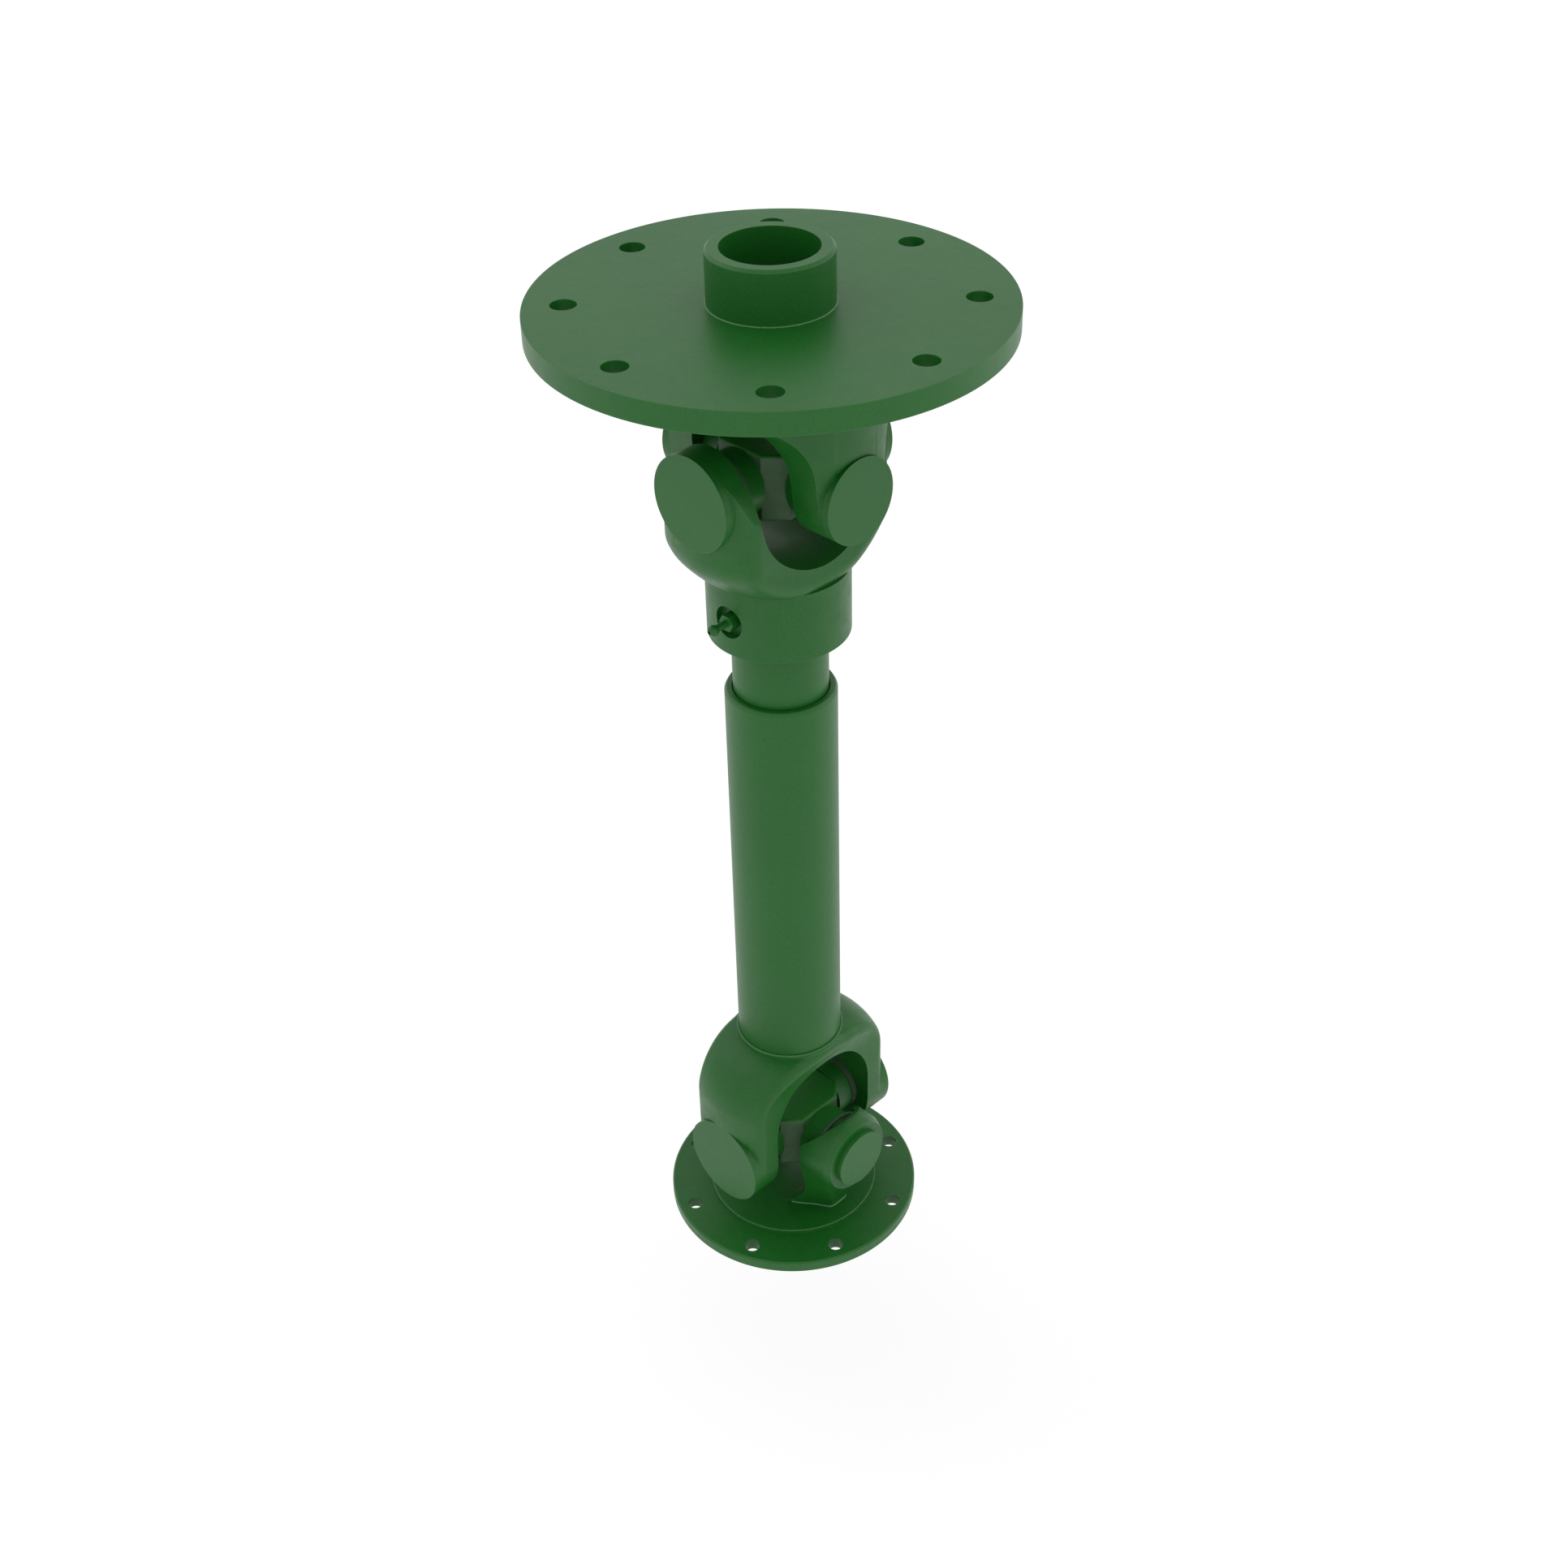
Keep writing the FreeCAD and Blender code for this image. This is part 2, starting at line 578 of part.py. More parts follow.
def tube_yoke_blank(top):
    # round bar with a domed upper end and the flat that the tube stands on
    r = LTY_TURNED_R
    across = r - LTY_DOME_R
    low = -LTY_EAR_R
    end = LTY_SEAT_R - across
    end_z = LTY_DOME_Z + sqrt(LTY_DOME_R ** 2 - end ** 2)
    half_way = acos(end / LTY_DOME_R) / 2
    middle = V(across + LTY_DOME_R * cos(half_way), 0, LTY_DOME_Z + LTY_DOME_R * sin(half_way))
    dome = Part.Arc(V(r, 0, LTY_DOME_Z), middle, V(LTY_SEAT_R, 0, end_z)).toShape()
    return turned_edges([
        Part.makeLine(V(0, 0, low), V(r, 0, low)),
        Part.makeLine(V(r, 0, low), V(r, 0, LTY_DOME_Z)),
        dome,
        Part.makeLine(V(LTY_SEAT_R, 0, end_z), V(LTY_SEAT_R, 0, top)),
        Part.makeLine(V(LTY_SEAT_R, 0, top), V(0, 0, top)),
        Part.makeLine(V(0, 0, top), V(0, 0, low))])


def lower_tube_yoke():
    top = TUBE_BOTTOM_Z - LOWER_JOINT_Z
    low = -LTY_EAR_R - 1
    slab = flared_slab(LTY_HALF_WIDTH, LTY_FLARE_Z, LTY_FLARE_R, top, low, top + 1)
    body = tube_yoke_blank(top).common(slab)
    body = rounded_sides(body, LTY_HALF_WIDTH, -LTY_EAR_R, LTY_ROUND)
    above = box(-REACH, REACH, -REACH, REACH, 0, top + 1)
    body = body.common(above.fuse(cyl(LTY_EAR_R, 2 * REACH, Y * -REACH, Y)))
    body = body.fuse(cyl(LTY_EAR_R, 2 * EAR_FACE, Y * -EAR_FACE, Y))
    body = body.cut(cyl(LTY_SLOT_HALF, 2 * REACH, V(-REACH, 0, LTY_SLOT_Z), X))
    body = body.cut(box(-REACH, REACH, -LTY_SLOT_HALF, LTY_SLOT_HALF, -REACH, LTY_SLOT_Z))
    body = cover_seats(bored(body, Y, CUP_R), Y, LTY_EAR_R)
    body = body.fuse(cyl(TUBE_BORE_R - HUB_FIT, LTY_SPIGOT_H + 1, V(0, 0, top - 1), Z))
    return raised(body.removeSplitter(), LOWER_JOINT_Z)


def foot_rib(side):
    # the leaning foot of one ear: broad at the bearing, wedge-shaped at the step
    low = STEP_TOP_Z - LOWER_JOINT_Z - LFY_FOOT_LAP
    wires = []
    for pts, z in ((LFY_FOOT, low), (LFY_HEAD, LFY_HEAD_Z)):
        ring = [V(x, -y, z) for x, y in pts] + [V(x, y, z) for x, y in reversed(pts)]
        wires.append(Part.makePolygon(ring + [ring[0]]))
    rib = Part.makeLoft(wires, True, True)
    if side < 0:
        rib.rotate(V(0, 0, 0), Z, 180)
    return rib


def ear_slope():
    # wedges that slant the inner upper side of both bearing rings
    (x0, z0), (x1, z1) = LFY_SLOPE
    ring = [V(x0, -REACH, z0), V(x1, -REACH, z1), V(x1, -REACH, REACH), V(x0, -REACH, REACH)]
    wedge = Part.Face(Part.makePolygon(ring + [ring[0]])).extrude(Y * (2 * REACH))
    other = wedge.copy()
    other.rotate(V(0, 0, 0), Z, 180)
    return wedge.fuse(other)


def lower_flange_yoke():
    body = cyl(LFY_EAR_R, 2 * LFY_RING_START, X * -LFY_RING_START, X)
    for way in (X, X * -1):
        ring = Part.makeCone(LFY_EAR_R, LFY_RING_R, LFY_RING_END - LFY_RING_START,
                             way * LFY_RING_START, way)
        body = body.fuse(ring)
    body = body.fuse([foot_rib(1), foot_rib(-1)])
    body = body.cut(cyl(LFY_SLOT_HALF, 2 * REACH, V(0, -REACH, LFY_SLOT_Z), Y))
    body = body.cut(box(-LFY_SLOT_HALF, LFY_SLOT_HALF, -REACH, REACH, LFY_SLOT_Z, REACH))
    body = body.cut(cyl(LFY_SPOT_R, 2 * LFY_SPOT_X, X * -LFY_SPOT_X, X))
    body = bored(body, X, CUP_R).cut(ear_slope())
    body = raised(body, LOWER_JOINT_Z)
    disc = cyl(FLANGE_R, FLANGE_T, V(0, 0, 0), Z)
    rims = [e for e in disc.Edges if len(e.Vertexes) == 1]
    disc = disc.makeChamfer(FLANGE_BEVEL, rims)
    disc = bolt_holes(disc, FLANGE_PITCH_R, FLANGE_HOLE_R, 0, FLANGE_T, 22.5)
    step = cyl(STEP_R, STEP_TOP_Z - FLANGE_T + 1, V(0, 0, FLANGE_T - 1), Z)
    return body.fuse([disc, step]).removeSplitter()


def joint_nodes(prefix, height, flange_cover_r, yoke_cover_r):
    save(raised(cross(), height), prefix + "_cross")
    save(Part.makeCompound([raised(s, height) for s in seals()]), prefix + "_cross_seals")
    save(Part.makeCompound([raised(g, height) for g in seal_guards()]), prefix + "_cross_guards")
    for arm in ("xp", "xn", "yp", "yn"):
        open_back = arm[0] == "x" and flange_cover_r is None
        shell = clipped_cup() if open_back else cup(CUP_BACK)
        save(on_arm(shell, arm, height), prefix + "_cup_" + arm)
        save(on_arm(rollers(), arm, height), prefix + "_rollers_" + arm)
        if not open_back:
            radius = flange_cover_r if arm[0] == "x" else yoke_cover_r
            save(on_arm(ear_cover(radius), arm, height), prefix + "_ear_cover_" + arm)


def build():
    os.makedirs("parts", exist_ok=True)
    save(drive_plate(), "drive_plate")
    save(upper_flange_yoke(), "upper_flange_yoke")
    save(plate_weld(), "plate_weld")
    save(hub_sleeve(), "hub_sleeve")
    joint_nodes("upper", UPPER_JOINT_Z, UFY_EAR_R, SLY_EAR_R)
    save(slip_yoke(), "slip_yoke")
    save(grease_nipple(), "grease_nipple")
    save(splined_shaft(), "splined_shaft")
    save(spline_sleeve(), "spline_sleeve")
    save(outer_tube(), "outer_tube")
    save(wiper_ring(), "wiper_ring")
    save(guide_bush(), "guide_bush")
    save(tube_weld(), "tube_weld")
    save(lower_tube_yoke(), "lower_tube_yoke")
    joint_nodes("lower", LOWER_JOINT_Z, None, LTY_EAR_R)
    clips = [on_arm(retaining_clip(), arm, LOWER_JOINT_Z) for arm in ("xp", "xn")]
    save(Part.makeCompound(clips), "lower_cup_clips")
    save(lower_flange_yoke(), "lower_flange_yoke")


build()
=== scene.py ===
import bpy
import bmesh
import json
from math import cos, sin, pi, radians
from mathutils import Vector, Matrix


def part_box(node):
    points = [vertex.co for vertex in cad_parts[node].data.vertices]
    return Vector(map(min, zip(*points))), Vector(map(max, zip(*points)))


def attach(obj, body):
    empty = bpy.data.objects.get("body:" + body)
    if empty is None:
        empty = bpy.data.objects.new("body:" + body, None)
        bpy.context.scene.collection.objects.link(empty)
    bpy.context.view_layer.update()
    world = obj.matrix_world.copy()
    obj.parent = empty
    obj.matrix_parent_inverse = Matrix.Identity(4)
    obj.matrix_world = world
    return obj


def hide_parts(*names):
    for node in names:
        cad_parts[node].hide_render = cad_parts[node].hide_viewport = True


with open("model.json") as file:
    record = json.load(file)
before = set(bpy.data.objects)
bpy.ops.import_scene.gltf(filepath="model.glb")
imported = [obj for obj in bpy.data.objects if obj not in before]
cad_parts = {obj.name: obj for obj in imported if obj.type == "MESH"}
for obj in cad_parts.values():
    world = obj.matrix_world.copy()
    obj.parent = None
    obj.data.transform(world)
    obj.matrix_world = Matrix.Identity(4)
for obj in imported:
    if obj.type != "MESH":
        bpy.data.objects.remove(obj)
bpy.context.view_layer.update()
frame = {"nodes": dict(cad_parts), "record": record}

# What the frame holds: each node's body and finish, the joints' centres and the main sizes, in metres
BEHAVIOUR = frame["record"]["behaviour"]
BODY_OF = {node: body for body, nodes in BEHAVIOUR["bodies"].items() for node in nodes}
SLOT_OF = {part["node"]: part["material_slot"] for part in frame["record"]["subparts"]}
CENTRE_OF = {joint["name"]: joint["pos_m"] for joint in BEHAVIOUR["joints"] if "pos_m" in joint}
UPPER_JOINT = CENTRE_OF["upper_tilt_x"][2]
LOWER_JOINT = CENTRE_OF["lower_tilt_x"][2]
PLATE_UNDERSIDE, PLATE_TOP = (corner[2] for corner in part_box("drive_plate"))
YOKE_TOP_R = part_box("upper_flange_yoke")[1][0]
HUB_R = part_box("hub_sleeve")[1][0]
TUBE_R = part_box("outer_tube")[1][0]
TUBE_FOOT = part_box("outer_tube")[0][2]

# Sizes that no box gives, in metres
STEP_R = 0.0539
STEP_TOP = 0.0101
EAR_FOOT = [(0.0192, 0.0208), (0.0251, 0.0170), (0.0320, 0.0116), (0.0386, 0.0078), (0.0410, 0.0050)]
ROLLERS = 16
ROLLER_R = 0.0023
ROLLER_PITCH_R = 0.01295

# Small forms of the finish, in metres
EDGE_ROUND = 0.0007
HUB_EDGE_ROUND = 0.0002
# Width of the lightened edge band: partly worn paint, partly a painted highlight along edges
WORN_AND_HIGHLIT_EDGE = 0.0011
FOOT_FILLET_R = 0.0010
LIP_LAP = 0.0001
LIP_PROUD = 0.00015
LIP_ROUND = 0.0002
LIP_WIDTH = 0.0040

# Beads: the section's radius, how far the ring lies out from and up from the corner that it fills,
# its ripples and their depth
PLATE_WELD = {"radius": 0.0024, "out": 0.0012, "up": -0.0013, "ripples": 150, "depth": 0.0002}
TUBE_WELD = {"radius": 0.0010, "out": 0.0004, "up": 0.0003, "ripples": 120, "depth": 0.0001}
HUB_BEAD = {"radius": 0.0006, "out": 0.0002, "up": -0.0001, "ripples": 90, "depth": 0.00005}
STEP_BEAD = {"radius": 0.0005, "out": -0.0004, "up": -0.0004, "ripples": 140, "depth": 0.00005}

# How finely small round things are divided, and what counts as one point, a flat and a corner
BEAD_SIDES = 10
ROLLER_SIDES = 14
LIP_STEPS = 72
FILLET_STEPS = 60
SAME_POINT = 2e-6
FLAT_WITHIN = radians(0.5)
CORNER_FROM = radians(32)
QUARTER_TURN = pi / 2

# Colours of the green enamel, scene linear
PAINT_DEEP = (0.0036, 0.094, 0.0062)
PAINT_LIGHT = (0.0056, 0.109, 0.0090)
PAINT_SHADE = (0.0028, 0.082, 0.0048)
PAINT_DUST = (0.0270, 0.146, 0.0310)
PAINT_PIT = (0.0020, 0.052, 0.0034)
# The light edge colour: worn paint on edges, and also a painted highlight on edges, beads and fillets
PAINT_RUBBED_AND_HIGHLIGHT = (0.0700, 0.210, 0.0740)
PAINT_MIST = (0.0024, 0.125, 0.0040)

# The studio, in metres and watts: the floor lies clear of the foot at the shaft's full stretch
FLOOR = -0.14
FLOOR_SIZE = 60.0
FLOOR_TONES = [(0.3, (0.31, 0.31, 0.31)), (0.7, (0.33, 0.33, 0.33))]
FLOOR_GLOW = 0.71
SKY_GLOW = 0.92
LIGHTS = [{"name": "key", "at": (-1.4, -0.6, 1.9), "look": (0, 0, 0.4), "size": 1.4, "power": 3},
          {"name": "rim", "at": (1.2, 1.7, 0.9), "look": (0, 0, 0.35), "size": 1.2, "power": 4}]

# The photograph's camera: degrees, metres, and pixels of its frame
CAMERA_TURN = 45.81
CAMERA_DOWN = 35.747
CAMERA_ROLL = -1.471
CAMERA_AWAY = 1.00892
CAMERA_HEIGHT = 1.05102
SENSOR_WIDTH = 36.0
CLIP_START = 0.01
PHOTO_SIDE = 1932.0
FOCAL_LENGTH = 2656.588
PHOTO_CENTRE = 965.5


# Materials
class Nodes:
    """One material with a Principled shader, and short ways to add and link its nodes."""

    def __init__(self, name):
        self.mat = bpy.data.materials.new(name)
        self.mat.use_nodes = True
        self.tree = self.mat.node_tree
        self.tree.nodes.clear()
        output = self.add("ShaderNodeOutputMaterial")
        self.shader = self.add("ShaderNodeBsdfPrincipled")
        self.link(self.shader.outputs[0], output.inputs[0])
        self.coords = self.add("ShaderNodeTexCoord").outputs

    def add(self, kind, **settings):
        node = self.tree.nodes.new(kind)
        for key, value in settings.items():
            setattr(node, key, value)
        return node

    def link(self, source, socket):
        self.tree.links.new(source, socket)

    def feed(self, **sources):
        """Links outputs to the shader's sockets, named with _ for each space."""
        for name, source in sources.items():
            self.link(source, self.shader.inputs[name.replace("_", " ")])

    def noise(self, scale, detail=4.0, rough=0.6):
        node = self.add("ShaderNodeTexNoise")
        node.inputs["Scale"].default_value = scale
        node.inputs["Detail"].default_value = detail
        node.inputs["Roughness"].default_value = rough
        self.link(self.coords["Object"], node.inputs["Vector"])
        return node.outputs["Fac"]

    def ramp(self, factor, stops):
        """A blend of two colours, each given with its place on the ramp."""
        node = self.add("ShaderNodeValToRGB")
        for element, (place, colour) in zip(node.color_ramp.elements, stops):
            element.position = place
            element.color = (*colour, 1.0)
        self.link(factor, node.inputs["Fac"])
        return node.outputs["Color"]

    def span(self, value, start, end, low, high):
        """Spreads a value's stretch from start to end over low to high."""
        node = self.add("ShaderNodeMapRange", clamp=True)
        for name, number in (("From Min", start), ("From Max", end), ("To Min", low), ("To Max", high)):
            node.inputs[name].default_value = number
        self.link(value, node.inputs["Value"])
        return node.outputs["Result"]

    def over(self, factor, base, colour):
        """Lays a colour over what is there, by a factor."""
        node = self.add("ShaderNodeMix", data_type="RGBA")
        self.link(factor, node.inputs["Factor"])
        self.link(base, node.inputs["A"])
        node.inputs["B"].default_value = (*colour, 1.0)
        return node.outputs["Result"]

    def math(self, operation, first, second):
        node = self.add("ShaderNodeMath", operation=operation)
        for value, socket in ((first, node.inputs[0]), (second, node.inputs[1])):
            if isinstance(value, float):
                socket.default_value = value
            else:
                self.link(value, socket)
        return node.outputs[0]

    def bump(self, height, strength, distance, below=None):
        node = self.add("ShaderNodeBump")
        node.inputs["Strength"].default_value = strength
        node.inputs["Distance"].default_value = distance
        self.link(height, node.inputs["Height"])
        if below is not None:
            self.link(below, node.inputs["Normal"])
        return node.outputs["Normal"]

    # This edge mask serves both for worn paint and for a painted highlight along edges
    def edge_wear_and_highlight(self, radius):
        """How far the softened normal turns from the true one: 1 on edges, 0 on flats."""
        bevel = self.add("ShaderNodeBevel", samples=4)
        bevel.inputs["Radius"].default_value = radius
        turned = self.add("ShaderNodeVectorMath", operation="DOT_PRODUCT")
        self.link(bevel.outputs["Normal"], turned.inputs[0])
        self.link(self.add("ShaderNodeNewGeometry").outputs["Normal"], turned.inputs[1])
        return self.span(turned.outputs["Value"], 0.995, 0.90, 0.0, 1.0)


def linear(*screen):
    """An 8 bit screen colour as scene linear."""
    parts = [value / 255.0 for value in screen]
    return tuple(v / 12.92 if v <= 0.04045 else ((v + 0.055) / 1.055) ** 2.4 for v in parts)


def enamel(name, skin_scale, skin_depth, patchy=1.0, painted_highlight=0.0):
    """Satin green machinery enamel: broad tone, mottling, dust, pits, edges lightened partly as worn paint
    and partly as a painted highlight, and orange peel.
    """
    n = Nodes(name)
    mottle = n.noise(scale=62.0, detail=5.0, rough=0.62)
    grain = n.noise(scale=900.0, detail=3.0, rough=0.75)
    worn_and_highlit_edges = n.math("MULTIPLY", n.edge_wear_and_highlight(WORN_AND_HIGHLIT_EDGE), n.span(mottle, 0.35, 0.65, 0.35, 1.0))
    colour = n.ramp(n.noise(scale=9.0, detail=3.0, rough=0.5), [(0.30, PAINT_DEEP), (0.70, PAINT_LIGHT)])
    colour = n.over(n.span(mottle, 0.42, 0.70, 0.0, 0.4 * patchy), colour, PAINT_SHADE)
    colour = n.over(n.span(grain, 0.56, 0.70, 0.0, 0.45), colour, PAINT_DUST)
    colour = n.over(n.span(grain, 0.44, 0.30, 0.0, 0.45), colour, PAINT_PIT)
    # Edges lightened with the light edge colour: partly worn paint, partly a painted highlight
    colour = n.over(n.math("MULTIPLY", worn_and_highlit_edges, 0.28), colour, PAINT_RUBBED_AND_HIGHLIGHT)
    # A painted highlight: the whole piece lightened towards the light edge colour, unevenly with the grain
    if painted_highlight:
        colour = n.over(n.span(grain, 0.30, 0.60, 0.5 * painted_highlight, painted_highlight), colour, PAINT_RUBBED_AND_HIGHLIGHT)
    spread = 0.06 * patchy
    gloss = n.span(n.noise(scale=130.0, detail=3.0), 0.3, 0.7, 0.42 - spread, 0.42 + spread)
    skin = n.bump(n.noise(scale=skin_scale), 0.16, skin_depth)
    skin = n.bump(n.noise(scale=820.0, detail=3.0), 0.22, 0.0002, below=skin)
    n.feed(Base_Color=colour, Roughness=gloss, Normal=skin)
    n.shader.inputs["Specular IOR Level"].default_value = 0.39
    return n.mat


def forged_steel(name):
    """Forged steel, bare and oily on its upright faces, with paint mist on top."""
    n = Nodes(name)
    colour = n.ramp(n.noise(scale=30.0), [(0.30, linear(48, 80, 48)), (0.72, linear(58, 92, 58))])
    stain = n.span(n.noise(scale=160.0, detail=5.0, rough=0.65), 0.55, 0.75, 0.0, 0.5)
    colour = n.over(stain, colour, linear(44, 62, 43))
    facing = n.add("ShaderNodeSeparateXYZ")
    n.link(n.coords["Normal"], facing.inputs[0])
    ragged = n.math("ADD", facing.outputs["Z"], n.span(n.noise(scale=90.0), 0.3, 0.7, -0.15, 0.15))
    colour = n.over(n.span(ragged, 0.30, 0.60, 0.0, 1.0), colour, PAINT_MIST)
    gloss = n.span(n.noise(scale=210.0, detail=3.0), 0.3, 0.7, 0.48, 0.62)
    n.feed(Base_Color=colour, Roughness=gloss, Normal=n.bump(n.noise(scale=380.0), 0.25, 0.0003))
    n.shader.inputs["Metallic"].default_value = 0.15
    return n.mat


def ground_steel(name):
    """Ground bright steel with a fine grain."""
    n = Nodes(name)
    grain = n.noise(scale=1500.0, detail=2.0)
    tone = n.noise(scale=40.0, detail=3.0, rough=0.5)
    colour = n.ramp(tone, [(0.3, linear(140, 142, 140)), (0.7, linear(170, 172, 170))])
    gloss = n.span(grain, 0.3, 0.7, 0.22, 0.36)
    n.feed(Base_Color=colour, Roughness=gloss, Normal=n.bump(grain, 0.08, 0.0001))
    n.shader.inputs["Metallic"].default_value = 1.0
    return n.mat


def misted_steel(name):
    """Bearing cup shells inside the forks: steel that caught a thin mist of paint."""
    n = Nodes(name)
    colour = n.ramp(n.noise(scale=45.0), [(0.30, linear(50, 72, 49)), (0.72, linear(60, 84, 58))])
    mist = n.span(n.noise(scale=240.0, rough=0.65), 0.50, 0.72, 0.0, 0.6)
    colour = n.over(mist, colour, PAINT_LIGHT)
    gloss = n.span(n.noise(scale=300.0, detail=3.0), 0.3, 0.7, 0.42, 0.58)
    skin = n.bump(n.noise(scale=700.0, detail=3.0), 0.12, 0.0001)
    n.feed(Base_Color=colour, Roughness=gloss, Normal=skin)
    return n.mat


def nitrile_rubber(name):
    """Seal rubber, matt and patchy, dulled by a mist of the green paint."""
    n = Nodes(name)
    patch = n.noise(scale=120.0)
    colour = n.ramp(patch, [(0.35, linear(30, 48, 30)), (0.7, linear(44, 64, 42))])
    skin = n.bump(n.noise(scale=1200.0, detail=2.0, rough=0.5), 0.15, 0.0001)
    n.feed(Base_Color=colour, Roughness=n.span(patch, 0.3, 0.7, 0.45, 0.7), Normal=skin)
    return n.mat


def turned_bronze(name):
    """Bearing bronze, dull and slightly stained."""
    n = Nodes(name)
    stain = n.noise(scale=90.0)
    colour = n.ramp(stain, [(0.3, linear(148, 112, 60)), (0.7, linear(176, 138, 82))])
    skin = n.bump(n.noise(scale=800.0, detail=2.0, rough=0.5), 0.1, 0.0001)
    n.feed(Base_Color=colour, Roughness=n.span(stain, 0.3, 0.7, 0.34, 0.5), Normal=skin)
    n.shader.inputs["Metallic"].default_value = 0.9
    return n.mat


def pale_floor(name):
    """A matt white studio floor that glows enough to hold no grey."""
    n = Nodes(name)
    colour = n.ramp(n.noise(scale=1.5, detail=2.0, rough=0.5), FLOOR_TONES)
    gloss = n.span(n.noise(scale=3.0, detail=2.0, rough=0.5), 0.3, 0.7, 0.85, 0.95)
    n.feed(Base_Color=colour, Roughness=gloss)
    n.shader.inputs["Specular IOR Level"].default_value = 0.1
    n.shader.inputs["Emission Color"].default_value = (1.0, 1.0, 1.0, 1.0)
    n.shader.inputs["Emission Strength"].default_value = FLOOR_GLOW
    return n.mat


TURNED_ENAMEL = enamel("enamel_on_turned_steel", skin_scale=420.0, skin_depth=0.0003, patchy=0.3)
FORGING_ENAMEL = enamel("enamel_on_forging", skin_scale=260.0, skin_depth=0.0004)
# Enamels for beads, welds and fillets, lightened as a painted highlight line
HIGHLIT_BEAD_ENAMEL = enamel("enamel_with_painted_highlight_on_bead", skin_scale=260.0, skin_depth=0.0004, painted_highlight=0.9)
WELD_ENAMEL = enamel("enamel_on_weld", skin_scale=260.0, skin_depth=0.0004, painted_highlight=0.4)
FORGED = forged_steel("oily_forged_steel")
GROUND = ground_steel("ground_bearing_steel")
MISTED = misted_steel("misted_cup_steel")
FINISH = {"green_paint": TURNED_ENAMEL, "dark_steel": FORGED, "bearing_steel": GROUND,
          "seal_rubber": nitrile_rubber("seal_rubber"), "bronze": turned_bronze("bearing_bronze")}


# Pieces made from the solids
def dress(piece, finish):
    piece.data.materials.clear()
    piece.data.materials.append(finish)


def linked(name, mesh):
    """A new object with this mesh, at the origin of the scene."""
    piece = bpy.data.objects.new(name, mesh)
    bpy.context.scene.collection.objects.link(piece)
    return piece


def from_bmesh(name, bm):
    mesh = bpy.data.meshes.new(name)
    bm.to_mesh(mesh)
    bm.free()
    return linked(name, mesh)


def softened(node, finish, edge=EDGE_ROUND):
    """Puts in a solid's place a copy with its triangles merged, flats joined and edges rounded."""
    bm = bmesh.new()
    bm.from_mesh(frame["nodes"][node].data)
    bmesh.ops.remove_doubles(bm, verts=bm.verts, dist=SAME_POINT)
    bmesh.ops.dissolve_limit(bm, angle_limit=FLAT_WITHIN, verts=bm.verts, edges=bm.edges,
                             delimit={"NORMAL"})
    for face in bm.faces:
        face.smooth = True
    piece = from_bmesh(node + "_soft", bm)
    rounding = piece.modifiers.new("rounded_edges", "BEVEL")
    rounding.width = edge
    rounding.segments = 3
    rounding.limit_method = "ANGLE"
    rounding.angle_limit = CORNER_FROM
    rounding.harden_normals = True
    rounding.use_clamp_overlap = True
    rounding.miter_outer = "MITER_ARC"
    flats = piece.modifiers.new("flats_stay_flat", "WEIGHTED_NORMAL")
    flats.mode = "FACE_AREA"
    flats.weight = 100
    dress(piece, finish)
    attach(piece, BODY_OF[node])
    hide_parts(node)


def seal_lips(cross, height):
    """The painted outer lips of a cross's four seals, as turned rings in the mouths of the guards."""
    guards_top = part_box(cross + "_guards")[1]
    seals_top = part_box(cross + "_seals")[1]
    near = guards_top[0] - LIP_LAP
    far = seals_top[0] + LIP_PROUD
    rim = guards_top[2] - height - LIP_LAP
    profile = [(near, rim - LIP_WIDTH), (near, rim - LIP_ROUND), (near + LIP_LAP, rim),
               (far - LIP_ROUND, rim), (far, rim - LIP_ROUND), (far, rim - LIP_WIDTH)]
    bm = bmesh.new()
    for arm in range(4):
        place = Matrix.Translation((0, 0, height)) @ Matrix.Rotation(QUARTER_TURN * arm, 4, "Z")
        rings = []
        for step in range(LIP_STEPS):
            angle = 2 * pi * step / LIP_STEPS
            rings.append([bm.verts.new(place @ Vector((x, r * cos(angle), r * sin(angle))))
                          for x, r in profile])
        for step, here in enumerate(rings):
            after = rings[(step + 1) % LIP_STEPS]
            for k in range(len(profile)):
                m = (k + 1) % len(profile)
                bm.faces.new((here[k], after[k], after[m], here[m]))
    bmesh.ops.recalc_face_normals(bm, faces=bm.faces)
    piece = from_bmesh(cross + "_seal_lips", bm)
    dress(piece, FORGING_ENAMEL)
    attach(piece, BODY_OF[cross])


